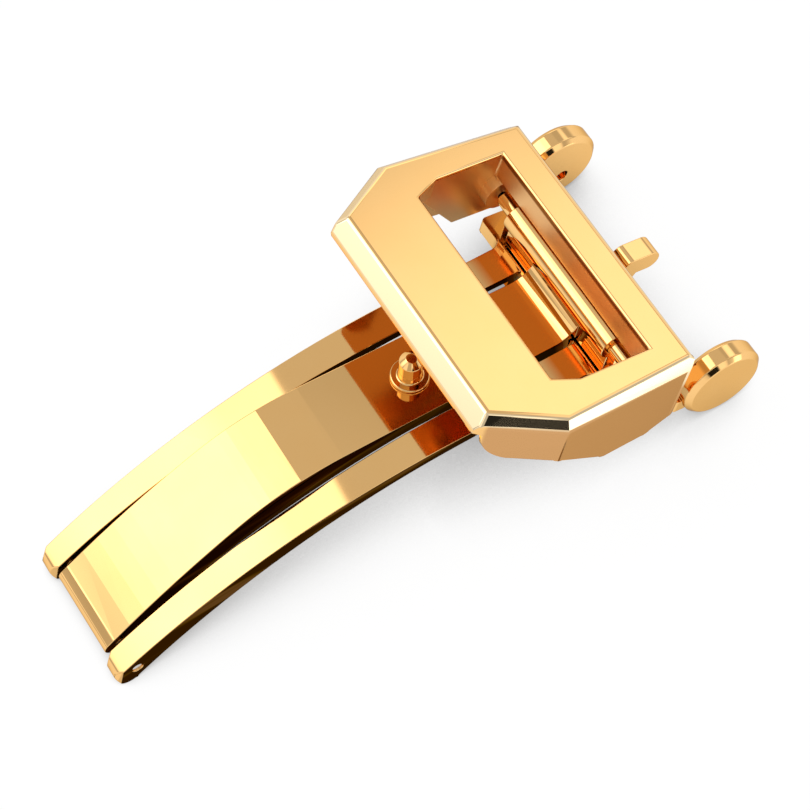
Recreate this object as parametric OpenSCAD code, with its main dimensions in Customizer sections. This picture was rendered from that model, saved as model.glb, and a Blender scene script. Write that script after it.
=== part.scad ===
// Folding clasp for a leather watch strap: a bevelled buckle frame hangs on a
// rod, the rod is caught by a forked outer blade, and an inner blade folds out
// from between the fork's two rails. Lengths are in millimetres.

/* [Strap] */
// Width of the strap that passes through the buckle frame
strap_w = 18; // [16:0.5:20]
// Spare width of the frame's window over the strap
window_play = 0.2; // [0.1:0.1:0.6]
// Spare width between the two lugs over the strap
lug_play = 1; // [0.4:0.1:1.4]

/* [Buckle frame] */
// Length of the frame along the strap
frame_len = 16.6; // [15:0.1:19]
// Width of the frame where its front sides would meet, before the corners are cut
frame_w = 25; // [24.4:0.1:28]
// Width of the frame at its lug end
frame_lug_end_w = 22.8; // [22.6:0.1:24]
// Width of the bar that the strap is pulled over
strap_bar_w = 6.5; // [4:0.1:7]
// Thickness of the bar that the strap is pulled over
strap_bar_t = 1.7; // [1.2:0.1:2.4]
// Width of the bar above the rod
rod_bar_w = 2.6; // [1.8:0.1:3]
// Thickness of the bar above the rod
rod_bar_t = 2.4; // [1.6:0.1:2.4]
// Depth of the cheeks below the top face
cheek_depth = 7.1; // [6.6:0.1:7.3]
// Slope of the cheeks' lower edge towards the strap bar, in degrees
cheek_slope = 32; // [28:1:36]
// Radius of the cheeks' lower corners
cheek_low_r = 1.5; // [0.5:0.5:3]
// Length of the rising stretch of the cheeks' lower edge at the lug end
cheek_rise_len = 2.6; // [2:0.1:3.2]
// Rise of the cheeks' lower edge at the lug end
cheek_rise = 1.2; // [0.8:0.1:1.6]
// Depth of the walls below the top face at the cut corners
corner_depth = 4.15; // [3.6:0.05:4.6]
// Length along the strap, from the strap bar's edge, where the walls start to deepen
corner_len = 5.6; // [4.6:0.1:6.4]
// Distance of the walls' rounded ends from the strap bar's edge
wall_inset = 0.7; // [0.4:0.1:1]
// Radius of the walls' rounded ends
wall_end_r = 2.1; // [1.2:0.1:2.3]
// Thickness of the walls' outer skin, which reaches lower than their inside
skin_t = 1.2; // [1:0.1:1.5]
// Depth of the cheeks' inside below the top face
inside_depth = 6.35; // [6.1:0.05:6.4]
// Slope of the cheeks' inside towards the strap bar, in degrees
inside_slope = 50; // [44:1:56]
// Distance from the window's strap bar edge to where the cheeks' inside starts
inside_start = 0.75; // [0.4:0.05:1.2]
// Length of the cut corners along the strap
corner_cut_len = 5.6; // [3:0.1:6]
// Width of the cut corners across the strap
corner_cut_w = 3.5; // [2:0.1:4]
// Radius of the upright corners at the lug end
lug_end_r = 0.7; // [0.4:0.1:1.2]
// Width of the bevel along the strap bar
bar_bevel_w = 1; // [0.5:0.05:1.2]
// Depth of the bevel along the strap bar
bar_bevel_d = 1.35; // [0.6:0.05:1.5]
// Width of the bevel along the sides and cut corners
side_bevel_w = 0.66; // [0.3:0.02:0.9]
// Depth of the bevel along the sides and cut corners
side_bevel_d = 0.83; // [0.4:0.01:1.1]
// Width of the small bevel at the lug end
end_bevel = 0.3; // [0.2:0.05:0.5]
// Length of the window's cut corners along the strap
window_cut_len = 1.9; // [0.8:0.1:2.4]
// Width of the window's cut corners across the strap
window_cut_w = 0.8; // [0.4:0.1:1.2]

/* [Rod] */
// Diameter of the rod's sleeve
rod_d = 1.2; // [1.1:0.05:1.3]
// Depth of the rod's axis below the frame's top face
rod_depth = 3.7; // [3.6:0.05:3.9]
// Distance from the rod's axis to the frame's lug end
rod_inset = 2.35; // [2.1:0.05:2.5]
// Wall of the rod's sleeve
sleeve_wall = 0.18; // [0.15:0.01:0.2]
// Diameter of the sprung tips that enter the cheeks
tip_d = 0.6; // [0.5:0.02:0.62]
// Depth that a tip enters its boss
tip_entry = 1.2; // [1:0.05:1.25]
// Diameter of the bosses inside the cheeks
boss_d = 2.7; // [2.7:0.1:3]
// Height of the bosses inside the cheeks
boss_h = 0.9; // [0.6:0.05:1]
// Gap between each end of the sleeve and its boss
sleeve_play = 0.25; // [0.15:0.05:0.3]

/* [Outer blade] */
// Thickness of the plate under the frame
plate_t = 1.15; // [1:0.05:1.4]
// Depth of the plate's top below the rod's axis
plate_depth = 3.05; // [3:0.05:3.3]
// Height of the rails' ends above the plate
rail_step = 0.45; // [0.3:0.05:0.6]
// Distance from the rod's axis back to the slot's end
slot_end = 0.7; // [0.65:0.05:0.9]
// Distance from the slot's end back to the rails' ends
rail_back = 0.1; // [0.05:0.05:0.2]
// Length of the rails' straight stretch
rail_flat = 9.7; // [9:0.1:10.5]
// Slope of the rails' straight stretch, in degrees
rail_slope = 9.5; // [9:0.1:10]
// Radius of the rails' curve
rail_r = 45.5; // [44:0.1:47]
// Angle that the rails turn through, in degrees
rail_turn = 37.5; // [36:0.1:39]
// Thickness of the rails at the plate
rail_t = 0.75; // [0.65:0.05:1]
// Thickness of the rails at their tips
rail_tip_t = 1.9; // [1.8:0.05:2]
// Width over the two rails at the plate
rails_w = 12; // [11.6:0.1:12.6]
// Width over the two rails at their tips
rails_tip_w = 11.2; // [11:0.1:12]
// Distance from the hinge pin to the centre of the rails' rounded ends
tip_reach = 0.85; // [0.75:0.05:1.2]
// Size of the cut corners at the rails' tips, in plan
tip_cut = 0.5; // [0.2:0.1:0.7]
// Radius of the corners where the rails meet the plate, in plan
rail_root_r = 1; // [0.6:0.1:1.4]
// Radius of the plate's, the slot's and the lugs' small corners
small_r = 0.4; // [0.2:0.05:0.5]

/* [Inner blade] */
// Width of the inner blade at the rod end
panel_w = 5.8; // [5.4:0.1:6.2]
// Width of the inner blade at the hinge pin
panel_tip_w = 6.7; // [6.4:0.1:6.9]
// Thickness of the inner blade at its two ends
panel_t = 1.25; // [1:0.05:1.3]
// Depth of the inner blade's underside below the rails' tops where the blade is thicker
panel_sink = 1; // [0.8:0.05:1]
// Distance that the inner blade reaches past the hinge pin
panel_reach = 1.25; // [1.1:0.05:1.35]
// Slope of the inner blade under the frame, in degrees
panel_slope = 9; // [8:0.5:9]
// Slope of the inner blade at the bend's far end, in degrees
bend_slope = 37.5; // [36:0.5:38]
// Slope of the long shallow curve where it leaves the bend, in degrees
long_slope = 38.3; // [38:0.1:40]
// Slope of the inner blade at the hinge pin, in degrees
panel_tip_slope = 50; // [48:0.5:52]
// Radius of the bend
bend_r = 16.5; // [14:0.1:18]
// Distance from the rails' ends at which the inner blade's top is level with theirs
panel_level = 1.6; // [1:0.1:2.2]
// Diameter of the eye that turns on the rod
eye_d = 2.3; // [2.2:0.02:2.34]
// Width of the eye
eye_w = 12.4; // [11:0.1:12.6]
// Thickness of the web that carries the eye
web_t = 1; // [0.8:0.05:1.1]
// Distance from the rod's axis back to the web's face
web_back = 0.4; // [0.3:0.05:0.5]
// Radius of the hollow between the inner blade and its web
web_fillet = 2; // [1.6:0.1:2.2]

/* [Stud] */
// Diameter of the stud that enters the strap's holes
stud_d = 1.7; // [1.4:0.1:2]
// Height of the stud above the inner blade
stud_h = 2.4; // [1.8:0.1:2.6]
// Distance from the rod's axis to the stud
stud_back = 12; // [11.5:0.1:12.6]
// Diameter of the stud's foot
stud_foot_d = 2.8; // [2.4:0.1:3.2]
// Height of the stud's foot
stud_foot_h = 0.3; // [0.2:0.05:0.4]
// Diameter of the stud's riveted shank
stud_shank_d = 1; // [0.8:0.1:1.2]
// Diameter of the riveted head under the blade
stud_rivet_d = 1.6; // [1.4:0.1:2]
// Height of the riveted head under the blade
stud_rivet_h = 0.25; // [0.2:0.05:0.35]

/* [Lugs and tongue] */
// Thickness of each lug
lug_t = 1.8; // [1.5:0.05:2]
// Radius of the round lugs
lug_r = 3.1; // [2.9:0.05:3.2]
// Chamfer of the lugs' rims
lug_rim = 0.35; // [0.2:0.05:0.5]
// Distance from the rod's axis to the lugs' centres, along the strap
lug_x = 6.5; // [6.3:0.05:6.7]
// Depth of the lugs' centres below the rod's axis
lug_depth = 1.95; // [1.8:0.05:2.1]
// Distance from the rod's axis to the plate's end
plate_end = 4.4; // [4.1:0.1:4.6]
// Distance from the rod's axis to the strap's bar, along the strap
bar_x = 6.85; // [6.6:0.05:7]
// Depth of the strap's bar below the rod's axis
bar_depth = 2.85; // [2.6:0.05:3]
// Diameter of the blind holes for the strap bar's tips
bar_tip_hole_d = 1; // [0.8:0.05:1.2]
// Depth of the blind holes for the strap bar's tips
bar_tip_hole_l = 1; // [0.8:0.05:1.2]
// Width of the tongue that reaches over the strap's bar
tongue_w = 1.6; // [1.4:0.1:2.2]
// Half the thickness of the tongue
tongue_r = 0.85; // [0.7:0.05:0.9]
// Height of the tongue's top above the rod's axis
tongue_top = 0.22; // [0.1:0.02:0.3]
// Distance from the rod's axis to the tongue's end
tongue_end = 7.75; // [7:0.05:8]
// Distance from the rod's axis to the tongue's bend
tongue_bend = 5.45; // [5.3:0.05:5.8]
// Lean of the tongue between its root and its bend, along the strap
tongue_lean = 1.25; // [1:0.05:1.4]

/* [Horns] */
// Radius of the horns that stand beside the eye and lean over the rod
horn_r = 0.45; // [0.4:0.05:0.5]
// Radius of the horns' tips
horn_tip_r = 0.28; // [0.24:0.02:0.32]
// Centre of the horns' bend from the rod's surface, along and up
horn_bend = [0.9, -0.6];
// Centre of the horns' tips from the rod's surface, along and up
horn_tip = [0.28, 0.58];

/* [Hinge pin] */
// Diameter of the hinge pin
pin_d = 0.8; // [0.7:0.05:0.9]

/* [Clearances] */
// Clearance between a hole and the pin that turns in it, on the radius
running = 0.05; // [0.03:0.01:0.08]
// Clearance between a hole and the pin that is pressed or riveted in it
seated = 0.01; // [0.005:0.005:0.02]
// Gap on each side of the inner blade at the slot's end
blade_gap = 0.55; // [0.4:0.05:0.7]
// Gap on each side of the inner blade at the hinge pin
hinge_gap = 0.35; // [0.25:0.05:0.45]
// Gap between parts that pass each other
pass_gap = 0.2; // [0.15:0.01:0.25]
// Gap between the plate and each cheek
cheek_gap = 0.3; // [0.25:0.05:0.4]
// Gap between the frame's lug end and the lugs' roots
root_gap = 0.65; // [0.5:0.05:0.8]
// Distance that the hinge pin's ends stay inside the rails
pin_inset = 0.1; // [0.05:0.05:0.15]

/* [Hidden] */
$fn = 96;
far = 60;
// How far a cutting shape runs past the surface that it opens
past = 1;
// A round's circle stands this far past the edges that it rounds, so they cross cleanly
fair = 0.003;

// Unit vector along a slope, and unit vector square to it on the upper side
function along(slope) = [cos(slope), sin(slope)];
function above(slope) = [-sin(slope), cos(slope)];
function unit(v) = v / norm(v);
function cross2(a, b) = a[0] * b[1] - a[1] * b[0];
// Corners of a polygon moved inwards, so each lies its own distance from both its edges
function inset(points, distances) = let (n = len(points)) [for (i = [0:n - 1]) let (
    back = unit(points[(i + n - 1) % n] - points[i]), ahead = unit(points[(i + 1) % n] - points[i]))
    points[i] + unit(back + ahead) * distances[i] / sin(acos(back * ahead) / 2)];

// The working frame has the rod's axis at its origin, the strap bar at -X and
// the frame's top face level. It is turned at the end to rest on a table.
frame_top = rod_depth;
frame_lug_x = rod_inset;
frame_bar_x = rod_inset - frame_len;
window_half = (strap_w + window_play) / 2;
window_lug_x = frame_lug_x - rod_bar_w;
window_bar_x = frame_bar_x + strap_bar_w;
side_taper = (frame_w - frame_lug_end_w) / 2 / frame_len;
cheek_bottom = frame_top - cheek_depth;
bar_bottom = frame_top - strap_bar_t;
boss_face = window_half - boss_h;

plate_top = -plate_depth;
plate_bottom = plate_top - plate_t;
plate_half = window_half - cheek_gap;
lug_inner = (strap_w + lug_play) / 2;
lug_outer = lug_inner + lug_t;
lug_at = [lug_x, -lug_depth];
root_x = frame_lug_x + root_gap;

rail_end = [-slot_end - rail_back, plate_top + rail_step];
rail_knee = rail_end - rail_flat * along(rail_slope);
rail_centre = rail_knee - rail_r * above(rail_slope);
tip_slope = rail_slope + rail_turn;
nose_r = rail_tip_t / 2;
mid_r = rail_r - nose_r;
nose_at = rail_centre + mid_r * above(tip_slope);
hinge_slope = tip_slope - tip_reach / mid_r * 180 / PI;
hinge_at = rail_centre + mid_r * above(hinge_slope);
// The rails' lower curve is a second circle, set over so that they thicken to the tip
lower_shift = (rail_tip_t - rail_t) / (sin(tip_slope) - sin(rail_slope));
lower_r = rail_r - rail_t + lower_shift * sin(rail_slope);
lower_centre = rail_centre + [lower_shift, 0];
rail_tip_x = nose_at[0] - nose_r - 0.05;
slot_w = panel_w + 2 * blade_gap;
slot_tip_w = panel_tip_w + 2 * hinge_gap;

// Top line of the inner blade: level with the rails in the window, then a bend,
// then a long shallow curve that meets the knuckle at the hinge pin
panel_ref = rail_end - panel_level * along(rail_slope);
panel_start = hinge_at + nose_r * above(panel_tip_slope);
bend_half = (bend_slope - panel_slope) / 2;
bend_chord = 2 * bend_r * sin(bend_half);
far_half = (panel_tip_slope - long_slope) / 2;
up = above(panel_slope);
far_chord = (up * (panel_ref - panel_start) - bend_chord * (up * along(panel_slope + bend_half)))
    / (up * along(long_slope + far_half));
far_r = far_chord / 2 / sin(far_half);
bend_at = panel_start + far_chord * along(long_slope + far_half);
flat_at = bend_at + bend_chord * along(panel_slope + bend_half);
eye_r = eye_d / 2;
neck_bottom = plate_top + pass_gap;
function on_panel(x) = panel_ref + (x - panel_ref[0]) / cos(panel_slope) * along(panel_slope);
stud_at = on_panel(-stud_back);

// Turn that brings the rails' noses and the lugs down onto one level
lug_from_nose = lug_at - nose_at;
rest_turn = atan2(lug_from_nose[1], lug_from_nose[0])
    - asin((lug_r - nose_r) / norm(lug_from_nose));
function turned(p) = [p[0] * cos(rest_turn) + p[1] * sin(rest_turn),
                      -p[0] * sin(rest_turn) + p[1] * cos(rest_turn)];
rest_lift = nose_r - turned(nose_at)[1];
rest_shift = -(turned(nose_at)[0] - nose_r + turned(lug_at)[0] + lug_r) / 2;

// Sleeve, tips and spring of the rod, measured from its middle
sleeve_half = boss_face - sleeve_play;
sleeve_bore_r = rod_d / 2 - sleeve_wall;
lip_l = 0.4;
shoulder_l = 1.2;
tip_play = 0.04;
shoulder_out = sleeve_half - lip_l - tip_play;
tip_out = boss_face + tip_entry;
spring_half = shoulder_out - shoulder_l - tip_play;
spring_r = sleeve_bore_r - 0.05;
spring_wire = 0.12;

gold = [0.93, 0.75, 0.42];
steel = [0.75, 0.75, 0.77];

module placed() {
    translate([rest_shift, 0, rest_lift]) rotate([0, rest_turn, 0]) children();
}

// A side profile, drawn in X and Z, carried across the strap
module across(w) {
    rotate([90, 0, 0]) linear_extrude(w, center = true) children();
}

module across_from(y0, y1) {
    translate([0, y1, 0]) rotate([90, 0, 0]) linear_extrude(y1 - y0) children();
}

module both_sides() {
    children();
    mirror([0, 1, 0]) children();
}

module round_bar(r, y0, y1) {
    translate([0, y1, 0]) rotate([90, 0, 0]) cylinder(r = r, h = y1 - y0);
}

// Polygon, counterclockwise, with each corner rounded to its own radius
module rounded(points, radii) {
    n = len(points);
    back = [for (i = [0:n - 1]) unit(points[(i + n - 1) % n] - points[i])];
    ahead = [for (i = [0:n - 1]) unit(points[(i + 1) % n] - points[i])];
    half = [for (i = [0:n - 1]) acos(back[i] * ahead[i]) / 2];
    centres = inset(points, radii);
    outline = [for (i = [0:n - 1]) each radii[i] > 0
        ? [points[i] + back[i] * radii[i] / tan(half[i]),
           points[i] + ahead[i] * radii[i] / tan(half[i])]
        : [points[i]]];
    difference() {
        union() {
            polygon(outline);
            for (i = [0:n - 1]) if (radii[i] > 0 && cross2(ahead[i], back[i]) > 0)
                translate(centres[i]) circle(radii[i] + fair);
        }
        for (i = [0:n - 1]) if (radii[i] > 0 && cross2(ahead[i], back[i]) < 0)
            translate(centres[i]) circle(radii[i] + fair);
    }
}

// Two discs and the straight flanks that touch both
module strut(a, ra, b, rb) {
    span = norm(b - a);
    heading = atan2(b[1] - a[1], b[0] - a[0]);
    spread = acos((ra - rb) / span);
    translate(a) circle(ra + fair);
    translate(b) circle(rb + fair);
    polygon([for (e = [[a, ra, -1], [b, rb, -1], [b, rb, 1], [a, ra, 1]])
        e[0] + e[1] * along(heading + e[2] * spread)]);
}

// Wedge seen from a curve's centre, between two slopes of the curve
module wedge(centre, reach, slope_a, slope_b) {
    polygon([centre, centre + reach * above(slope_a), centre + reach * above(slope_b)]);
}

// Half-space above a bevel that runs along a straight outline edge from p to q,
// with the body on the left of the edge
module bevel_cut(p, q, w, d) {
    translate([p[0], p[1], frame_top - d])
        rotate([0, 0, atan2(q[1] - p[1], q[0] - p[0])])
            rotate([atan2(d, w), 0, 0]) translate([-far, -far, 0]) cube(2 * far);
}

module outer_blade() color(gold) placed() {
    difference() {
        union() {
            intersection() {
                across(2 * far) {
                    rail_profile();
                    plate_profile();
                }
                translate([0, 0, -far]) linear_extrude(2 * far) outer_plan();
            }
            both_sides() lug();
            across(tongue_w) tongue_profile();
            both_sides() across_from(eye_w / 2 + pass_gap, boss_face - pass_gap) horn_profile();
        }
        translate([hinge_at[0], 0, hinge_at[1]]) round_bar(pin_d / 2 + seated, -far, far);
        translate([bar_x, 0, -bar_depth]) both_sides()
            round_bar(bar_tip_hole_d / 2, lug_inner - 0.1, lug_inner + bar_tip_hole_l);
    }
}

module rail_profile() {
    intersection() {
        difference() {
            translate(rail_centre) circle(rail_r, $fn = 360);
            translate(lower_centre) circle(lower_r, $fn = 360);
        }
        wedge(rail_centre, 1.4 * rail_r, rail_slope - 0.01, tip_slope);
    }
    translate(nose_at) circle(nose_r);
    polygon([rail_knee, rail_knee - rail_t * above(rail_slope),
             rail_end - [0, rail_t / cos(rail_slope)], rail_end]);
}

module plate_profile() {
    rounded([[-slot_end - 1, plate_bottom], [plate_end, plate_bottom], [plate_end, plate_top],
             [-slot_end - 1, plate_top]], [0, small_r, small_r, 0]);
}

// Plan of the rails, the plate and the lugs' roots, seen from above
module outer_plan() {
    half = rails_w / 2;
    tip_half = rails_tip_w / 2;
    root_half = lug_outer - 2 * lug_rim;
    slot_half = slot_w / 2;
    slot_tip_half = slot_tip_w / 2;
    cut_x = rail_tip_x + tip_cut;
    difference() {
        rounded([[rail_tip_x, tip_cut - tip_half], [cut_x, -tip_half], [-slot_end, -half],
                 [-slot_end, -plate_half], [root_x, -plate_half], [root_x, -root_half],
                 [plate_end + 1, -root_half], [plate_end + 1, root_half], [root_x, root_half],
                 [root_x, plate_half], [-slot_end, plate_half], [-slot_end, half],
                 [cut_x, tip_half], [rail_tip_x, tip_half - tip_cut]],
                [0, 0, rail_root_r, small_r, 0, small_r, 0, 0, small_r, 0, small_r, rail_root_r, 0, 0]);
        rounded([[rail_tip_x - 1, -slot_tip_half - tip_cut], [rail_tip_x, -slot_tip_half - tip_cut],
                 [cut_x, -slot_tip_half], [-slot_end, -slot_half], [-slot_end, slot_half],
                 [cut_x, slot_tip_half], [rail_tip_x, slot_tip_half + tip_cut],
                 [rail_tip_x - 1, slot_tip_half + tip_cut]], [0, 0, 0, small_r, small_r, 0, 0, 0]);
    }
}

// Round lug with chamfered rims
module lug() translate([lug_x, 0, -lug_depth]) {
    round_bar(lug_r, lug_inner + lug_rim, lug_outer - lug_rim);
    translate([0, lug_inner + lug_rim, 0]) rotate([90, 0, 0])
        cylinder(r1 = lug_r, r2 = lug_r - lug_rim, h = lug_rim);
    translate([0, lug_outer, 0]) rotate([90, 0, 0])
        cylinder(r1 = lug_r - lug_rim, r2 = lug_r, h = lug_rim);
}

// Tongue that rises from the plate's end and reaches over the strap's bar
module tongue_profile() {
    bend = [tongue_bend, tongue_top - tongue_r];
    root = [tongue_bend - tongue_lean, plate_bottom + tongue_r + 0.1];
    strut(root, tongue_r, bend, tongue_r);
    strut(bend, tongue_r, [tongue_end - tongue_r, bend[1]], tongue_r);
}

// Horn that stands behind the rod and leans over it, with the rod's exposed
// stretch between it and the frame's swing
module horn_profile() {
    bend = [rod_d / 2, 0] + horn_bend;
    strut([bend[0], plate_top - horn_r], horn_r, bend, horn_r);
    strut(bend, horn_r, [rod_d / 2, 0] + horn_tip, horn_tip_r);
}

module blade_hinge_pin() color(steel) placed() {
    half = rails_tip_w / 2 - pin_inset;
    translate([hinge_at[0], 0, hinge_at[1]]) round_bar(pin_d / 2, -half, half);
}

module inner_blade() color(gold) placed() {
    difference() {
        union() {
            intersection() {
                across(2 * far) {
                    panel_profile();
                    neck_profile();
                }
                translate([0, 0, -far]) linear_extrude(2 * far) polygon([
                    [hinge_at[0] - nose_r - 1, -panel_tip_w / 2], [web_t - web_back, -panel_w / 2],
                    [web_t - web_back, panel_w / 2], [hinge_at[0] - nose_r - 1, panel_tip_w / 2]]);
            }
            across(eye_w) {
                circle(eye_r);
                translate([-web_back, neck_bottom]) square([web_t, -neck_bottom]);
            }
        }
        round_bar(rod_d / 2 + running, -far, far);
        translate([hinge_at[0], 0, hinge_at[1]]) round_bar(pin_d / 2 + running, -far, far);
        stud_hole();
    }
}

module panel_profile() {
    far_centre = panel_start - far_r * above(panel_tip_slope);
    bend_centre = bend_at - bend_r * above(bend_slope);
    under_r = rail_r - panel_sink;
    middle = panel_t / 2 * above(panel_slope);
    intersection() {
        difference() {
            translate(far_centre) circle(far_r, $fn = 720);
            intersection() {
                translate(far_centre) circle(far_r - panel_t, $fn = 720);
                translate(rail_centre) circle(under_r, $fn = 360);
            }
        }
        wedge(far_centre, 1.4 * far_r, long_slope, panel_tip_slope);
    }
    intersection() {
        difference() {
            translate(bend_centre) circle(bend_r, $fn = 180);
            intersection() {
                translate(bend_centre) circle(bend_r - panel_t, $fn = 180);
                translate(rail_centre) circle(under_r, $fn = 360);
            }
        }
        wedge(bend_centre, 1.4 * bend_r, panel_slope - 0.01, bend_slope);
    }
    difference() {
        polygon([flat_at - middle, bend_centre, on_panel(rail_knee[0]) - middle]);
        translate(rail_centre) circle(under_r, $fn = 360);
    }
    end_r = panel_t / 2;
    strut(hinge_at, nose_r + 4 * fair, hinge_at - (panel_reach - end_r) * along(panel_tip_slope)
        + (nose_r - end_r) * above(panel_tip_slope), end_r);
}

// Straight stretch under the frame, hollowed up into the web of the eye
module neck_profile() {
    down = panel_t * above(panel_slope);
    heel_x = -slot_end - pass_gap;
    rounded([flat_at - down, on_panel(heel_x) - down, [heel_x, neck_bottom],
             [web_t - web_back, neck_bottom], [web_t - web_back, 0], [-web_back, 0], on_panel(-web_back), flat_at],
            [0, 0, 0, 0, 0, 0, web_fillet, 0]);
}

module at_stud() {
    translate([stud_at[0], 0, stud_at[1]]) rotate([0, -panel_slope, 0]) children();
}

module stud_hole() {
    at_stud() translate([0, 0, -2 * panel_t])
        cylinder(r = stud_shank_d / 2 + seated, h = 3 * panel_t);
}

module strap_stud() color(gold) placed() at_stud() {
    cylinder(r = stud_foot_d / 2, h = stud_foot_h);
    cylinder(r = stud_d / 2, h = stud_h - stud_d / 4);
    translate([0, 0, stud_h - stud_d / 4])
        cylinder(r1 = stud_d / 2, r2 = stud_d / 4, h = stud_d / 4);
    translate([0, 0, -panel_t]) cylinder(r = stud_shank_d / 2, h = panel_t);
    translate([0, 0, -panel_t - stud_rivet_h])
        cylinder(r = stud_rivet_d / 2, h = stud_rivet_h);
}

module buckle_frame() color(gold) placed() difference() {
    union() {
        difference() {
            intersection() {
                translate([0, 0, cheek_bottom]) linear_extrude(cheek_depth) frame_plan();
                across(2 * far) frame_side();
            }
            frame_bevels();
            translate([0, 0, -far]) linear_extrude(2 * far) window_plan();
            hollow_between_cheeks();
            inside_relief();
        }
        both_sides() round_bar(boss_d / 2, boss_face, window_half + 0.1);
    }
    both_sides() round_bar(tip_d / 2 + running, boss_face - 0.1, tip_out + 0.1);
}

function side_at(x) = frame_w / 2 - side_taper * (x - frame_bar_x);

function frame_corners() = [
    [frame_bar_x, -frame_w / 2 + corner_cut_w],
    [frame_bar_x + corner_cut_len, -side_at(frame_bar_x + corner_cut_len)],
    [frame_lug_x, -side_at(frame_lug_x)], [frame_lug_x, side_at(frame_lug_x)],
    [frame_bar_x + corner_cut_len, side_at(frame_bar_x + corner_cut_len)],
    [frame_bar_x, frame_w / 2 - corner_cut_w]];

module frame_plan() {
    rounded(frame_corners(), [0, 0, lug_end_r, lug_end_r, 0, 0]);
}

module frame_bevels() {
    widths = [side_bevel_w, side_bevel_w, end_bevel, side_bevel_w, side_bevel_w, bar_bevel_w];
    depths = [side_bevel_d, side_bevel_d, end_bevel, side_bevel_d, side_bevel_d, bar_bevel_d];
    corners = frame_corners();
    for (i = [0:5]) bevel_cut(corners[i], corners[(i + 1) % 6], widths[i], depths[i]);
}

// Side view of the frame's outer skin: thin over the strap bar, deeper at the
// cut corners and deepest at the cheeks
module frame_side() {
    wall_x = frame_bar_x + wall_inset;
    wall_bottom = frame_top - corner_depth;
    slope_x = frame_bar_x + corner_len;
    end_bottom = cheek_bottom + cheek_rise;
    rounded([[frame_bar_x - past, bar_bottom], [wall_x, bar_bottom], [wall_x, wall_bottom],
             [slope_x, wall_bottom],
             [slope_x + (wall_bottom - cheek_bottom) / tan(cheek_slope), cheek_bottom],
             [frame_lug_x - cheek_rise_len, cheek_bottom], [frame_lug_x, end_bottom],
             [frame_lug_x + past, end_bottom], [frame_lug_x + past, frame_top],
             [frame_bar_x - past, frame_top]],
            [0, 0, wall_end_r, 1, cheek_low_r, cheek_low_r, 0, 0, 0, 0]);
}

// Space behind the outer skin, under the inside of the cheeks and corners
module inside_relief() {
    inside_bottom = frame_top - inside_depth;
    start = window_bar_x + inside_start;
    intersection() {
        translate([0, 0, -far]) linear_extrude(2 * far)
            polygon(inset(frame_corners(), [for (corner = frame_corners()) skin_t]));
        across(2 * far) polygon([
            [frame_bar_x - past, bar_bottom], [frame_bar_x - past, cheek_bottom - past],
            [frame_lug_x + past, cheek_bottom - past], [frame_lug_x + past, inside_bottom],
            [start + (bar_bottom - inside_bottom) / tan(inside_slope), inside_bottom],
            [start, bar_bottom]]);
    }
}

module window_plan() {
    polygon([[window_bar_x, -window_half + window_cut_w],
             [window_bar_x + window_cut_len, -window_half],
             [window_lug_x, -window_half], [window_lug_x, window_half],
             [window_bar_x + window_cut_len, window_half],
             [window_bar_x, window_half - window_cut_w]]);
}

// Space between the cheeks, under the two bars and under the window's cut corners
module hollow_between_cheeks() {
    across(2 * window_half) polygon([
        [frame_bar_x - past, bar_bottom], [window_bar_x + window_cut_len, bar_bottom],
        [window_bar_x + window_cut_len, frame_top + past], [window_lug_x, frame_top + past],
        [window_lug_x, frame_top - rod_bar_t], [frame_lug_x + past, frame_top - rod_bar_t],
        [frame_lug_x + past, cheek_bottom - past], [frame_bar_x - past, cheek_bottom - past]]);
}

module rod_sleeve() color(gold) placed() difference() {
    round_bar(rod_d / 2, -sleeve_half, sleeve_half);
    round_bar(sleeve_bore_r, lip_l - sleeve_half, sleeve_half - lip_l);
    round_bar(tip_d / 2 + tip_play, -far, far);
}

module rod_tip() {
    round_bar(tip_d / 2, shoulder_out - 0.1, tip_out);
    round_bar(sleeve_bore_r - tip_play / 2, shoulder_out - shoulder_l, shoulder_out);
}

module rod_tip_back() color(steel) placed() rod_tip();

module rod_tip_front() color(steel) placed() mirror([0, 1, 0]) rod_tip();

// The coil spring's outer form, closed inside the sleeve
module rod_spring() color(steel) placed() difference() {
    round_bar(spring_r, -spring_half, spring_half);
    round_bar(spring_r - spring_wire, -far, far);
}

outer_blade();
blade_hinge_pin();
inner_blade();
strap_stud();
buckle_frame();
rod_sleeve();
rod_spring();
rod_tip_front();
rod_tip_back();
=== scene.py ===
import bmesh
import bpy
import numpy as np
from mathutils import Matrix, Vector


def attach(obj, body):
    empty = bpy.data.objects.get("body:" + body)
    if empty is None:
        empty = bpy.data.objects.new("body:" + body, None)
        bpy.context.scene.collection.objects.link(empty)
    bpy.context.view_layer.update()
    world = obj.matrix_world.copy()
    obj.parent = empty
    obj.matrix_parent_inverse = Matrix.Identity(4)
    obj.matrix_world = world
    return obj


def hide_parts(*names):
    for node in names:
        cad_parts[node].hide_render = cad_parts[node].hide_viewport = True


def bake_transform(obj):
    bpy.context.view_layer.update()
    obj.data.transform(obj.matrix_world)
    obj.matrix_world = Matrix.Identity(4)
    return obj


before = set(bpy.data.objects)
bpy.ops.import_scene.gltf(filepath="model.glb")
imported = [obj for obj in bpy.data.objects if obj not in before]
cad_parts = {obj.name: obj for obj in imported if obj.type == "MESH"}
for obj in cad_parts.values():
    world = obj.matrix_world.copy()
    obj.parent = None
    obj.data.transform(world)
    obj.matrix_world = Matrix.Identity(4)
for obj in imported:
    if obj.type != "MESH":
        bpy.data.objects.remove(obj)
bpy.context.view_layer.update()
MM = 0.001


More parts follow.
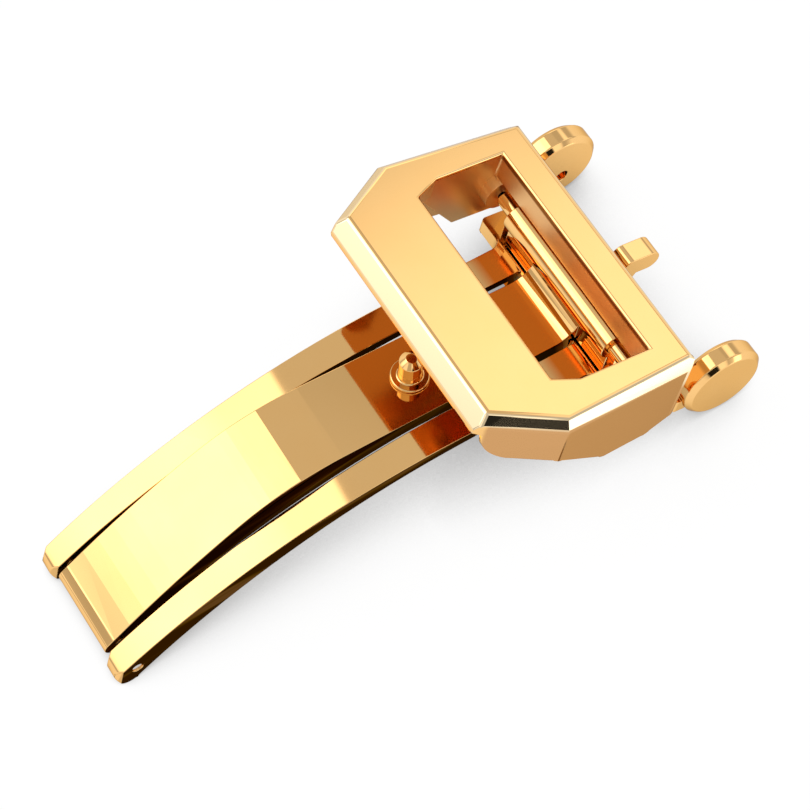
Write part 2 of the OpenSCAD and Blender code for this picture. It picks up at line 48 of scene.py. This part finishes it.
# Outer blade: a fork cut from one piece of brass, its edges broken on a wheel, polished to a
# mirror and gold-plated. Its two curved rails reach the hinge pin. Its other end carries
# two round lugs, the tongue that reaches over the strap's spring bar, and two horns.
BLADE_EDGE, SHORTEST_EDGE = 0.07 * MM, 0.05 * MM
SHARP_ANGLE, FLAT_ANGLE, POINT_MERGE = np.radians(28), np.radians(0.03), 0.006 * MM
GOLD, PALE_GOLD = (0.965, 0.565, 0.205), (0.975, 0.61, 0.25)
# Painted dark reflection: the dark and brown wall colours of the blades' front sides
PAINTED_DARK_REFLECTION, PAINTED_BROWN_REFLECTION = (0.012, 0.008, 0.006), (0.11, 0.055, 0.03)
# Painted red-brown shade: the dull gold of the stretch seen through the window; its haze is real roughness
PAINTED_WINDOW_SHADE, DULL_HAZE = (0.80, 0.18, 0.015), 0.1
GRAZING_TINT = (0.6, 0.5, 0.4, 1.0)
LINE_DEPTH = 0.002 * MM


def softened(node, name, width, share):
    """A copy of a CAD solid, its loose triangles merged and its flat faces made whole.
    Its sharp edges are rounded as a polishing wheel leaves them, each by a part of the
    width: share gives that part from the edge's middle and length. Flat faces stay flat."""
    work = bmesh.new()
    work.from_mesh(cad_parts[node].data)
    bmesh.ops.remove_doubles(work, verts=work.verts, dist=POINT_MERGE)
    bmesh.ops.dissolve_limit(work, angle_limit=FLAT_ANGLE, verts=work.verts, edges=work.edges)
    weight = work.edges.layers.float.new("bevel_weight_edge")
    for edge in work.edges:
        if edge.is_manifold and edge.calc_face_angle() > SHARP_ANGLE:
            edge[weight] = share((edge.verts[0].co + edge.verts[1].co) / 2, edge.calc_length())
    mesh = bpy.data.meshes.new(name)
    work.to_mesh(mesh)
    work.free()
    mesh.materials.clear()
    mesh.shade_smooth()
    mesh.set_sharp_from_angle(angle=SHARP_ANGLE)
    piece = bpy.data.objects.new(name, mesh)
    bpy.context.scene.collection.objects.link(piece)
    bevel = piece.modifiers.new("edges", "BEVEL")
    bevel.width = width
    bevel.segments = 3
    bevel.limit_method = "WEIGHT"
    bevel.harden_normals = True
    bevel.use_clamp_overlap = False
    weighted = piece.modifiers.new("flats", "WEIGHTED_NORMAL")
    weighted.keep_sharp = True
    return piece


def new_group(name, inputs, outputs):
    """An empty shader node group with its inputs' names and values and its outputs' names."""
    group = bpy.data.node_groups.new(name, "ShaderNodeTree")
    for label, value in inputs.items():
        socket = group.interface.new_socket(label, in_out="INPUT", socket_type="NodeSocketFloat")
        socket.default_value = value
    for label in outputs:
        group.interface.new_socket(label, in_out="OUTPUT", socket_type="NodeSocketFloat")
    return group, group.nodes.new("NodeGroupInput"), group.nodes.new("NodeGroupOutput")


def split(tree, source):
    """The X, Y and Z outputs of a vector."""
    node = tree.nodes.new("ShaderNodeSeparateXYZ")
    tree.links.new(source, node.inputs["Vector"])
    return node.outputs


def math_node(tree, operation, a, b=None):
    """A Math node with its one or two values linked or set."""
    node = tree.nodes.new("ShaderNodeMath")
    node.operation = operation
    for socket, value in zip(node.inputs, (a, b)):
        if value is None:
            continue
        if isinstance(value, (int, float)):
            socket.default_value = value
        else:
            tree.links.new(value, socket)
    return node.outputs[0]


def ramp(tree, value, low, high, start=0.0, end=1.0):
    """A smooth step of a value from start to end between two limits."""
    node = tree.nodes.new("ShaderNodeMapRange")
    node.interpolation_type = "SMOOTHSTEP"
    tree.links.new(value, node.inputs["Value"])
    for label, number in (("From Min", low), ("From Max", high), ("To Min", start), ("To Max", end)):
        node.inputs[label].default_value = number
    return node.outputs["Result"]


# The polish group: faint wheel lines along the strap, cloudy buffing and a breath of haze
polish, polish_in, polish_out = new_group(
    "wheel_polish", {"Line Size": 9000.0, "Cloud Size": 220.0, "Low": 0.035, "High": 0.09},
    ("Tone", "Roughness", "Height"))
place = polish.nodes.new("ShaderNodeTexCoord")
stretch = polish.nodes.new("ShaderNodeMapping")
stretch.inputs["Scale"].default_value = (0.02, 1.0, 0.3)
lines = polish.nodes.new("ShaderNodeTexNoise")
lines.inputs["Detail"].default_value = 3.0
clouds = polish.nodes.new("ShaderNodeTexNoise")
clouds.inputs["Detail"].default_value = 4.0
polish.links.new(place.outputs["Object"], stretch.inputs["Vector"])
polish.links.new(stretch.outputs["Vector"], lines.inputs["Vector"])
polish.links.new(place.outputs["Object"], clouds.inputs["Vector"])
polish.links.new(polish_in.outputs["Line Size"], lines.inputs["Scale"])
polish.links.new(polish_in.outputs["Cloud Size"], clouds.inputs["Scale"])
spread = math_node(polish, "SUBTRACT", polish_in.outputs["High"], polish_in.outputs["Low"])
haze = math_node(polish, "MULTIPLY", spread, clouds.outputs["Fac"])
polish.links.new(math_node(polish, "ADD", haze, polish_in.outputs["Low"]), polish_out.inputs["Roughness"])
polish.links.new(clouds.outputs["Fac"], polish_out.inputs["Tone"])
polish.links.new(lines.outputs["Fac"], polish_out.inputs["Height"])


def mixed_colour(tree, factor, a, b):
    """Two colours mixed by a mask, each a plain triple or another node's output."""
    node = tree.nodes.new("ShaderNodeMix")
    node.data_type = "RGBA"
    tree.links.new(factor, node.inputs["Factor"])
    for label, value in (("A", a), ("B", b)):
        if isinstance(value, tuple):
            node.inputs[label].default_value = (*value, 1.0)
        else:
            tree.links.new(value, node.inputs[label])
    return node.outputs["Result"]


def polished(name, colour, pale, low, high, cloud=220.0, line=9000.0, relief=0.02):
    """A mirror-polished metal: its tone drifts between two near colours with the
    buffing clouds, its haze with them, and fine wheel lines disturb the reflection."""
    material = bpy.data.materials.new(name)
    material.use_nodes = True
    tree = material.node_tree
    shader = tree.nodes["Principled BSDF"]
    shader.inputs["Metallic"].default_value = 1.0
    shader.inputs["Specular Tint"].default_value = GRAZING_TINT
    marks = tree.nodes.new("ShaderNodeGroup")
    marks.node_tree = polish
    for label, value in (("Line Size", line), ("Cloud Size", cloud), ("Low", low), ("High", high)):
        marks.inputs[label].default_value = value
    tone = mixed_colour(tree, marks.outputs["Tone"], colour, pale)
    tree.links.new(tone, shader.inputs["Base Color"])
    tree.links.new(marks.outputs["Roughness"], shader.inputs["Roughness"])
    bump = tree.nodes.new("ShaderNodeBump")
    bump.inputs["Strength"].default_value = relief
    bump.inputs["Distance"].default_value = LINE_DEPTH
    tree.links.new(marks.outputs["Height"], bump.inputs["Height"])
    tree.links.new(bump.outputs["Normal"], shader.inputs["Normal"])
    return material, tree, shader, tone, marks.outputs["Roughness"]


# The dark wall group: a painted dark reflection on the blades' upright front sides, standing
# in for the shade that they mirror. The mask is one where the surface's normal points to the
# front, and fades out towards the lugs
FRONT_FACING = (-0.92, -0.6)
STREAK_NOISE = (0.52, 0.68)
walls, walls_in, walls_out = new_group(
    "painted_wall_reflection", {"Start": 13.0 * MM, "End": 16.0 * MM}, ("Mask", "Streak"))
place = walls.nodes.new("ShaderNodeTexCoord")
to_front = ramp(walls, split(walls, place.outputs["Normal"])["Y"], *FRONT_FACING, 1.0, 0.0)
reach = walls.nodes.new("ShaderNodeMapRange")
walls.links.new(split(walls, place.outputs["Object"])["X"], reach.inputs["Value"])
walls.links.new(walls_in.outputs["Start"], reach.inputs["From Min"])
walls.links.new(walls_in.outputs["End"], reach.inputs["From Max"])
reach.inputs["To Min"].default_value = 1.0
reach.inputs["To Max"].default_value = 0.0
walls.links.new(math_node(walls, "MULTIPLY", to_front, reach.outputs["Result"]), walls_out.inputs["Mask"])
stretch = walls.nodes.new("ShaderNodeMapping")
stretch.inputs["Scale"].default_value = (60.0, 60.0, 700.0)
streaks = walls.nodes.new("ShaderNodeTexNoise")
streaks.inputs["Scale"].default_value = 1.0
walls.links.new(place.outputs["Object"], stretch.inputs["Vector"])
walls.links.new(stretch.outputs["Vector"], streaks.inputs["Vector"])
walls.links.new(ramp(walls, streaks.outputs["Fac"], *STREAK_NOISE), walls_out.inputs["Streak"])


# The sheltered group: the stretch seen through the window, which gets a painted red-brown
# shade and a duller polish. The mask grows from one place along the strap to another, and
# ends before the eye
sheltered, sheltered_in, sheltered_out = new_group(
    "window_shade_and_haze", {"Start": 9.0 * MM, "Full": 10.5 * MM, "End": 13.7 * MM}, ("Mask",))
place = sheltered.nodes.new("ShaderNodeTexCoord")
along = split(sheltered, place.outputs["Object"])["X"]
grow = sheltered.nodes.new("ShaderNodeMapRange")
sheltered.links.new(along, grow.inputs["Value"])
sheltered.links.new(sheltered_in.outputs["Start"], grow.inputs["From Min"])
sheltered.links.new(sheltered_in.outputs["Full"], grow.inputs["From Max"])
within = math_node(sheltered, "LESS_THAN", along, sheltered_in.outputs["End"])
sheltered.links.new(math_node(sheltered, "MULTIPLY", grow.outputs["Result"], within),
                    sheltered_out.inputs["Mask"])


def blade_metal(name, low, high, wall_start, wall_end, shade_start, shade_full):
    """Polished metal with a painted dark reflection on its upright front sides, which carries a
    faint brown streak, and with a duller stretch in the window under a painted red-brown shade."""
    material, tree, shader, tone, haze = polished(name, GOLD, PALE_GOLD, low, high)
    shade_and_haze, sides = (tree.nodes.new("ShaderNodeGroup") for _ in range(2))
    shade_and_haze.node_tree, sides.node_tree = sheltered, walls
    shade_and_haze.inputs["Start"].default_value = shade_start
    shade_and_haze.inputs["Full"].default_value = shade_full
    sides.inputs["Start"].default_value = wall_start
    sides.inputs["End"].default_value = wall_end
    tone = mixed_colour(tree, shade_and_haze.outputs["Mask"], tone, PAINTED_WINDOW_SHADE)
    dark = mixed_colour(tree, sides.outputs["Streak"], PAINTED_DARK_REFLECTION, PAINTED_BROWN_REFLECTION)
    tree.links.new(mixed_colour(tree, sides.outputs["Mask"], tone, dark), shader.inputs["Base Color"])
    satin = math_node(tree, "MULTIPLY", shade_and_haze.outputs["Mask"], DULL_HAZE)
    tree.links.new(math_node(tree, "ADD", haze, satin), shader.inputs["Roughness"])
    return material


def blade_share(middle, length):
    """The blades' edges are all eased alike, apart from the tiny ones."""
    return 1.0 if length > SHORTEST_EDGE else 0.0


outer_metal = blade_metal("polished_rails", 0.035, 0.08, 13.0 * MM, 16.0 * MM, 11.3 * MM, 12.3 * MM)
outer = softened("outer_blade", "forked_blade", BLADE_EDGE, blade_share)
outer.data.materials.append(outer_metal)
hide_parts("outer_blade")
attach(outer, "outer")


# Hinge pin: ground steel wire pressed into both rails, on which the inner blade's knuckle
# turns. Its ends lie just below the rails' sides, and their rims are broken.
PIN_R = 0.4 * MM
PIN_HALF = 5.5 * MM
PIN_AT = Vector((-22.874, 0.0, 1.341)) * MM
ACROSS = Vector((0.0, 1.0, 0.0))
ROUND_STEPS = 64
SEAM_MERGE = 0.0005 * MM


def surface(name, points, faces):
    """A smooth piece from worked-out points and faces: its poles and seams are closed by
    merging their doubles, and all its faces are turned outwards."""
    mesh = bpy.data.meshes.new(name)
    mesh.from_pydata(points, [], faces)
    work = bmesh.new()
    work.from_mesh(mesh)
    bmesh.ops.remove_doubles(work, verts=work.verts, dist=SEAM_MERGE)
    bmesh.ops.recalc_face_normals(work, faces=work.faces)
    work.to_mesh(mesh)
    work.free()
    mesh.shade_smooth()
    piece = bpy.data.objects.new(name, mesh)
    bpy.context.scene.collection.objects.link(piece)
    return piece


def turned(name, profile, base, axis, closed=False):
    """A turned part: the profile's pairs of radius and height are carried round the axis
    through base, as a grid of points base + height * axis + radius * (cos u, sin u)."""
    axis = np.array(axis) / np.linalg.norm(axis)
    side = np.cross(axis, (0.0, 1.0, 0.0) if abs(axis[1]) < 0.9 else (1.0, 0.0, 0.0))
    side /= np.linalg.norm(side)
    other = np.cross(axis, side)
    radius, height = np.array(profile, float).T
    u = np.linspace(0.0, 2.0 * np.pi, ROUND_STEPS, endpoint=False)
    ring = np.cos(u)[:, None] * side + np.sin(u)[:, None] * other
    points = (np.array(base) + height[:, None, None] * axis + radius[:, None, None] * ring).reshape(-1, 3)
    rows = len(radius) if closed else len(radius) - 1
    i, j = np.meshgrid(np.arange(rows), np.arange(ROUND_STEPS), indexing="ij")
    k, m = (i + 1) % len(radius), (j + 1) % ROUND_STEPS
    faces = np.stack([i * ROUND_STEPS + j, i * ROUND_STEPS + m, k * ROUND_STEPS + m, k * ROUND_STEPS + j], -1)
    return surface(name, points, faces.reshape(-1, 4).tolist())


def arc(centre, radius, start, end, steps=8):
    """Points of a profile's rounded corner, from one angle to the other in degrees."""
    u = np.radians(np.linspace(start, end, steps))
    return [(centre[0] + radius * np.cos(a), centre[1] + radius * np.sin(a)) for a in u]


STEEL = (0.72, 0.72, 0.74)
PALE_STEEL = (0.80, 0.80, 0.81)
steel = polished("ground_steel", STEEL, PALE_STEEL, 0.12, 0.2, cloud=900.0, line=16000.0, relief=0.1)[0]
pin_rim = 0.08 * MM
pin = turned("hinge_pin",
             [(0.0, -PIN_HALF)] + arc((PIN_R - pin_rim, pin_rim - PIN_HALF), pin_rim, -90, 0)
             + arc((PIN_R - pin_rim, PIN_HALF - pin_rim), pin_rim, 0, 90) + [(0.0, PIN_HALF)],
             PIN_AT, ACROSS)
pin.data.materials.append(steel)
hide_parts("blade_hinge_pin")
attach(pin, "outer")


# Inner blade: a solid arched blade that lies between the rails, thick in its middle and
# thinned under the frame, where it turns up into the wide eye that rides on the rod.
inner_metal = blade_metal("polished_inner_blade", 0.03, 0.07, 13.0 * MM, 15.0 * MM, 9.5 * MM, 10.5 * MM)
inner = softened("inner_blade", "arched_blade", BLADE_EDGE, blade_share)
inner.data.materials.append(inner_metal)
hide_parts("inner_blade")
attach(inner, "inner")


# Strap stud: a turned post that enters one of the strap's holes. It has a wide low foot,
# a straight shaft with a coned tip, and a shank riveted under the blade.
STUD_BASE = Vector((3.195, 0.0, 6.829)) * MM
STUD_AXIS = (0.17425, 0.0, 0.9847)
BLADE_THICK = 1.25 * MM
foot_r, foot_h, foot_rim = 1.4 * MM, 0.3 * MM, 0.12 * MM
shaft_r, shaft_top, stud_top = 0.85 * MM, 1.975 * MM, 2.4 * MM
shank_r, rivet_r, rivet_h = 0.5 * MM, 0.8 * MM, 0.25 * MM
RIVET_HEAD = ((0.0, 1.0), (0.55, 1.0), (0.9, 0.75), (1.0, 0.3), (1.0, 0.0))
tip_r, fillet, tip_rim = 0.425 * MM, 0.15 * MM, 0.15 * MM
shaft_rim_drop, tip_rim_inset = 0.02 * MM, 0.1 * MM
stud = turned("strap_post",
              [(rivet_r * wide, -BLADE_THICK - rivet_h * deep) for wide, deep in RIVET_HEAD]
              + [(shank_r, -BLADE_THICK), (shank_r, 0.0), (foot_r, 0.0)]
              + arc((foot_r - foot_rim, foot_h - foot_rim), foot_rim, 0, 90)
              + arc((shaft_r + fillet, foot_h + fillet), fillet, 270, 180, 6)
              + arc((shaft_r - tip_rim, shaft_top - shaft_rim_drop), tip_rim, 0, 45, 6)
              + arc((tip_r - tip_rim_inset, stud_top - tip_rim), tip_rim, 45, 90, 6) + [(0.0, stud_top)],
              STUD_BASE, STUD_AXIS)
stud.data.materials.append(polished("polished_post", GOLD, PALE_GOLD, 0.03, 0.06, cloud=500.0)[0])
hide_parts("strap_stud")
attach(stud, "inner")


# Buckle frame: cut from one thick bar, with a rectangular window for the strap, broad
# bevels all round and deep cheeks whose inner bosses hold the rod.
FRAME_EDGE = 0.2 * MM
FACE_POINT = Vector((3.706, 0.0, 15.209)) * MM
FACE_NORMAL = Vector((0.3261, 0.0, 0.9453))
FACE_DEPTH = 2.2 * MM
LOW_EDGE_SHARE = 0.35
LEAST_FRAME_EDGE = 0.3 * MM


def frame_share(middle, length):
    """The edges near the top face are eased in full, and the cheeks' lower ones a little."""
    depth = (FACE_POINT - middle).dot(FACE_NORMAL)
    if length < LEAST_FRAME_EDGE:
        return 0.0
    return 1.0 if depth < FACE_DEPTH else LOW_EDGE_SHARE


bezel = softened("buckle_frame", "bevelled_frame", FRAME_EDGE, frame_share)
# The frame's zones: its bevels carry a painted highlight, the sides of its cheeks are satin
# with painted shade, the window's walls satin and painted paler as a reflection of something
# pale, with a painted dark line of shade along the lug side's top, and the underside has
# painted shade. Each mask comes from the surface's place in metres and from its normal,
# between the limits given here
WINDOW_X = (9.0 * MM, 9.2 * MM, 17.0 * MM, 17.2 * MM)
WINDOW_Y = (9.15 * MM, 9.25 * MM)
WALL_DEPTH = (0.2 * MM, 0.3 * MM)
RIM_DEPTH = (0.1 * MM, 0.16 * MM, 0.4 * MM, 0.6 * MM)
RIM_X, RIM_FACING = (15.0 * MM, 15.5 * MM), (-0.8, -0.6)
BEVEL_LEAN = (0.35, 0.5, 0.85, 0.95)
SIDE_Y, SIDE_FACING = (9.3 * MM, 9.5 * MM), (0.5, 0.7)
UNDER_LEAN = (-0.5, -0.3)
# Painted light in these colours: a highlight on the bevels, shade on the cheeks' sides, a paler reflection on
# the window's walls, a dark line of shade on the rim and shade underneath; the hazes are real roughness
BEVEL_PAINTED_HIGHLIGHT = (0.99, 0.78, 0.48)
SIDE_PAINTED_SHADE, SIDE_HAZE = (0.66, 0.36, 0.15), 0.1
INSIDE_PAINTED_REFLECTION, INSIDE_HAZE = (0.92, 0.56, 0.26), 0.28
SHADED_RIM = (0.30, 0.11, 0.03)
UNDERSIDE_PAINTED_SHADE, UNDER_HAZE = (0.42, 0.15, 0.03), 0.15
zones, _, zones_out = new_group("frame_zones", {}, ("Bevel", "Sides", "Inside", "Rim", "Under"))


def product(*masks):
    """The product of several masks of the zones."""
    result = masks[0]
    for mask in masks[1:]:
        result = math_node(zones, "MULTIPLY", result, mask)
    return result


def band(value, low, low_end, high, high_end):
    """A mask that rises between the first two limits and falls between the last two."""
    return product(ramp(zones, value, low, low_end), ramp(zones, value, high, high_end, 1.0, 0.0))


def along_normal(source):
    """A vector's part along the top face's normal."""
    dot = zones.nodes.new("ShaderNodeVectorMath")
    dot.operation = "DOT_PRODUCT"
    dot.inputs[1].default_value = FACE_NORMAL
    zones.links.new(source, dot.inputs[0])
    return dot.outputs["Value"]


place = zones.nodes.new("ShaderNodeTexCoord")
facing = split(zones, place.outputs["Normal"])
where = split(zones, place.outputs["Object"])
lean = along_normal(place.outputs["Normal"])
depth = math_node(zones, "SUBTRACT", FACE_POINT.dot(FACE_NORMAL), along_normal(place.outputs["Object"]))
across = math_node(zones, "ABSOLUTE", where["Y"])
sideways = math_node(zones, "ABSOLUTE", facing["Y"])
in_window = product(band(where["X"], *WINDOW_X), ramp(zones, across, *WINDOW_Y, 1.0, 0.0))
for label, mask in (
        ("Bevel", product(band(lean, *BEVEL_LEAN), math_node(zones, "SUBTRACT", 1.0, in_window))),
        ("Sides", product(ramp(zones, sideways, *SIDE_FACING), ramp(zones, across, *SIDE_Y))),
        ("Inside", product(in_window, ramp(zones, depth, *WALL_DEPTH))),
        ("Rim", product(band(depth, *RIM_DEPTH), ramp(zones, facing["X"], *RIM_FACING, 1.0, 0.0),
                        ramp(zones, where["X"], *RIM_X))),
        ("Under", ramp(zones, lean, *UNDER_LEAN, 1.0, 0.0))):
    zones.links.new(mask, zones_out.inputs[label])

frame_metal, tree, shader, tone, haze = polished("polished_frame", GOLD, PALE_GOLD, 0.03, 0.07)
painted_light_and_haze = tree.nodes.new("ShaderNodeGroup")
painted_light_and_haze.node_tree = zones
for label, colour in (("Sides", SIDE_PAINTED_SHADE), ("Bevel", BEVEL_PAINTED_HIGHLIGHT), ("Inside", INSIDE_PAINTED_REFLECTION),
                      ("Rim", SHADED_RIM), ("Under", UNDERSIDE_PAINTED_SHADE)):
    tone = mixed_colour(tree, painted_light_and_haze.outputs[label], tone, colour)
tree.links.new(tone, shader.inputs["Base Color"])
for label, amount in (("Inside", INSIDE_HAZE), ("Sides", SIDE_HAZE), ("Under", UNDER_HAZE)):
    haze = math_node(tree, "ADD", haze, math_node(tree, "MULTIPLY", painted_light_and_haze.outputs[label], amount))
tree.links.new(haze, shader.inputs["Roughness"])
bezel.data.materials.append(frame_metal)
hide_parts("buckle_frame")
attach(bezel, "frame")


# Rod sleeve: a thin drawn tube of gold-plated brass, whose two ends are closed in round the
# sprung tips so that they can't fall out. It lies across the window, through the eye.
ROD_AT = Vector((15.97, 0.0, 7.063)) * MM
sleeve_r, sleeve_bore, sleeve_half = 0.6 * MM, 0.42 * MM, 7.95 * MM
lip_bore, lip_l, lip_rim = 0.34 * MM, 0.4 * MM, 0.1 * MM
shoulder = sleeve_half - lip_l
sleeve = turned("rod_tube",
                [(lip_bore, -sleeve_half)] + arc((sleeve_r - lip_rim, lip_rim - sleeve_half), lip_rim, -90, 0)
                + arc((sleeve_r - lip_rim, sleeve_half - lip_rim), lip_rim, 0, 90)
                + [(lip_bore, sleeve_half), (lip_bore, shoulder), (sleeve_bore, shoulder),
                   (sleeve_bore, -shoulder), (lip_bore, -shoulder)],
                ROD_AT, ACROSS, closed=True)
sleeve.data.materials.append(polished("polished_tube", GOLD, PALE_GOLD, 0.04, 0.09, cloud=700.0)[0])
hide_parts("rod_sleeve")
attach(sleeve, "frame")


# Rod spring: a coil of drawn steel wire, closed inside the tube between the two tips. Here
# it is two halves that meet at the middle turn.
wire_r, coil_r, coil_half, half_turns = 0.06 * MM, 0.31 * MM, 6.2 * MM, 20
along_turn, round_wire = 20, 8
WIRE, PALE_WIRE = (0.58, 0.58, 0.6), (0.66, 0.66, 0.68)
spring_metal = polished("drawn_wire", WIRE, PALE_WIRE, 0.2, 0.3, cloud=1500.0, relief=0.1)[0]
for label, side in (("front", -1.0), ("back", 1.0)):
    # Centre line (r cos a, half t, r sin a) from the middle out, with a round section on it
    t = np.linspace(0.0, 1.0, half_turns * along_turn + 1)
    angle = 2.0 * np.pi * half_turns * t * side
    centre = np.stack([coil_r * np.cos(angle), coil_half * t * side, coil_r * np.sin(angle)], -1)
    outward = np.stack([np.cos(angle), np.zeros_like(t), np.sin(angle)], -1)
    v = np.linspace(0.0, 2.0 * np.pi, round_wire, endpoint=False)
    coil = (centre[:, None] + wire_r * (np.cos(v)[None, :, None] * outward[:, None]
            + np.sin(v)[None, :, None] * np.array(ACROSS))).reshape(-1, 3) + np.array(ROD_AT)
    i, j = np.meshgrid(np.arange(len(t) - 1), np.arange(round_wire), indexing="ij")
    m = (j + 1) % round_wire
    coil_faces = np.stack([i * round_wire + j, (i + 1) * round_wire + j,
                           (i + 1) * round_wire + m, i * round_wire + m], -1).reshape(-1, 4).tolist()
    last = (len(t) - 1) * round_wire
    coil_faces += [list(range(round_wire))[::-1], list(range(last, last + round_wire))]
    spring = surface("rod_coil_" + label, coil, coil_faces)
    spring.data.materials.append(spring_metal)
    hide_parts("rod_spring")
    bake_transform(spring)


# Rod tips: two turned steel pins with a collar inside the tube and a domed end in the
# cheek's boss. Each can be pushed in against the spring to free the rod.
tip_pin_r, collar_r, collar_rim, dome = 0.3 * MM, 0.4 * MM, 0.06 * MM, 0.12 * MM
collar_in, collar_out, tip_end = 6.31 * MM, 7.51 * MM, 9.4 * MM
tip_profile = [(0.0, collar_in),
               *arc((collar_r - collar_rim, collar_in + collar_rim), collar_rim, -90, 0, 5),
               *arc((collar_r - collar_rim, collar_out - collar_rim), collar_rim, 0, 90, 5),
               (tip_pin_r, collar_out), *arc((tip_pin_r - dome, tip_end - dome), dome, 0, 90), (0.0, tip_end)]
for label, side in (("front", -1.0), ("back", 1.0)):
    tip = turned("rod_pin_" + label, tip_profile, ROD_AT, side * ACROSS)
    tip.data.materials.append(steel)
    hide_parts("rod_tip_" + label)
    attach(tip, "tip_" + label)


# Floor: a plain pale sheet, four times as wide as the clasp, that shows white to the camera
# and in the polished metal. Its white fades to a soft shadow where the clasp covers the
# sky, and it lights the clasp no more than such a sheet does.
floor_half, shadow_reach = 0.1, 14.0 * MM
PAPER, PAPER_ROUGHNESS = (0.82, 0.82, 0.82, 1.0), 0.9
OPEN_SKY, SHADOW_LIGHT, WHITE_LIGHT, OWN_LIGHT = 0.75, 0.15, 1.03, 0.93
floor_mesh = bpy.data.meshes.new("floor")
floor_mesh.from_pydata([(-floor_half, -floor_half, 0.0), (floor_half, -floor_half, 0.0),
                        (floor_half, floor_half, 0.0), (-floor_half, floor_half, 0.0)], [], [(0, 1, 2, 3)])
floor = bpy.data.objects.new("floor", floor_mesh)
bpy.context.scene.collection.objects.link(floor)
pale = bpy.data.materials.new("pale_floor")
pale.use_nodes = True
tree = pale.node_tree
sheet = tree.nodes["Principled BSDF"]
sheet.inputs["Base Color"].default_value = PAPER
sheet.inputs["Roughness"].default_value = PAPER_ROUGHNESS
cover = tree.nodes.new("ShaderNodeAmbientOcclusion")
cover.inputs["Distance"].default_value = shadow_reach
glow = tree.nodes.new("ShaderNodeEmission")
light = ramp(tree, cover.outputs["AO"], 0.0, OPEN_SKY, SHADOW_LIGHT, WHITE_LIGHT)
tree.links.new(light, glow.inputs["Strength"])
rays = tree.nodes.new("ShaderNodeLightPath").outputs
seen = math_node(tree, "MAXIMUM", rays["Is Camera Ray"],
                 math_node(tree, "MAXIMUM", rays["Is Glossy Ray"], rays["Is Transmission Ray"]))
mixed = tree.nodes.new("ShaderNodeMixShader")
tree.links.new(math_node(tree, "MULTIPLY", seen, OWN_LIGHT), mixed.inputs["Fac"])
tree.links.new(sheet.outputs["BSDF"], mixed.inputs[1])
tree.links.new(glow.outputs["Emission"], mixed.inputs[2])
tree.links.new(mixed.outputs["Shader"], tree.nodes["Material Output"].inputs["Surface"])
floor.data.materials.append(pale)


# Studio: a room whose walls are white up to a low height and dim above, with soft lamps in
# it and one dark panel. Each is a patch of the sky: the bearing and height of its centre,
# the angles at which it starts and ends fading, all in degrees, and its strength.
DIM = 0.55
WALL_TOP = (8.0, 20.0)
LAMPS = [
    ("ceiling", 0.0, 90.0, 34.0, 46.0, 0.65),
    ("over_face", 24.0, 38.0, 3.0, 14.0, 1.45),
    ("left_softbox", 134.0, 48.0, 9.0, 33.5, 2.4),
    ("left_softbox_end", 104.0, 60.0, 9.0, 10.5, 1.9),
    ("front_strip", -54.0, -3.0, 9.0, 18.0, 2.4),
    ("far_softbox", 62.0, 22.0, 8.0, 20.0, 1.6),
    ("front_softbox", -84.0, 32.0, 14.0, 30.0, 1.2),
    ("right_softbox", -12.0, 40.0, 10.0, 24.0, 1.1),
    ("behind_softbox", -168.0, 35.0, 10.0, 24.0, 1.1),
]
DARK_PANEL = (-98.0, 25.0, 10.0, 15.0, 0.985)


def patch(tree, direction, bearing, height, start, end, strength):
    """A round patch of the sky: full strength within the start angle of its centre, and
    a smooth step down to nothing at the end angle."""
    bearing, height, start, end = np.radians((bearing, height, start, end))
    dot = tree.nodes.new("ShaderNodeVectorMath")
    dot.operation = "DOT_PRODUCT"
    dot.inputs[1].default_value = (np.cos(bearing) * np.cos(height), np.sin(bearing) * np.cos(height),
                                   np.sin(height))
    tree.links.new(direction, dot.inputs[0])
    return ramp(tree, dot.outputs["Value"], float(np.cos(end)), float(np.cos(start)), 0.0, strength)


world = bpy.data.worlds.new("studio")
bpy.context.scene.world = world
world.use_nodes = True
tree = world.node_tree
direction = tree.nodes.new("ShaderNodeTexCoord").outputs["Generated"]
low, high = (float(np.sin(np.radians(angle))) for angle in WALL_TOP)
light = ramp(tree, split(tree, direction)["Z"], low, high, 1.0, DIM)
for label, *lamp in LAMPS:
    light = math_node(tree, "MAXIMUM", light, patch(tree, direction, *lamp))
shade = math_node(tree, "SUBTRACT", 1.0, patch(tree, direction, *DARK_PANEL))
tree.links.new(math_node(tree, "MULTIPLY", light, shade), tree.nodes["Background"].inputs["Strength"])
tree.nodes["Background"].inputs["Color"].default_value = (1.0, 1.0, 1.0, 1.0)
bpy.context.scene.view_settings.view_transform = "Standard"


# Camera: about 20 cm away on a long lens, above the clasp's front and the hinge's side, and
# looking steeply down on it. Its directions and place were fitted to the photo's view.
CAMERA_AT = Vector((-26.956, -83.346, 188.351)) * MM
CAMERA_RIGHT = Vector((0.84563, -0.52396, -0.1019))
CAMERA_DOWN = Vector((-0.51429, -0.74865, -0.41837))
camera_data = bpy.data.cameras.new("camera")
camera_data.sensor_width = 36.0
camera_data.lens = 130.9
camera_data.clip_start = 0.01
camera = bpy.data.objects.new("camera", camera_data)
bpy.context.scene.collection.objects.link(camera)
turn = Matrix((CAMERA_RIGHT, -CAMERA_DOWN, CAMERA_RIGHT.cross(-CAMERA_DOWN))).transposed()
camera.matrix_world = Matrix.Translation(CAMERA_AT) @ turn.to_4x4()
bpy.context.scene.camera = camera
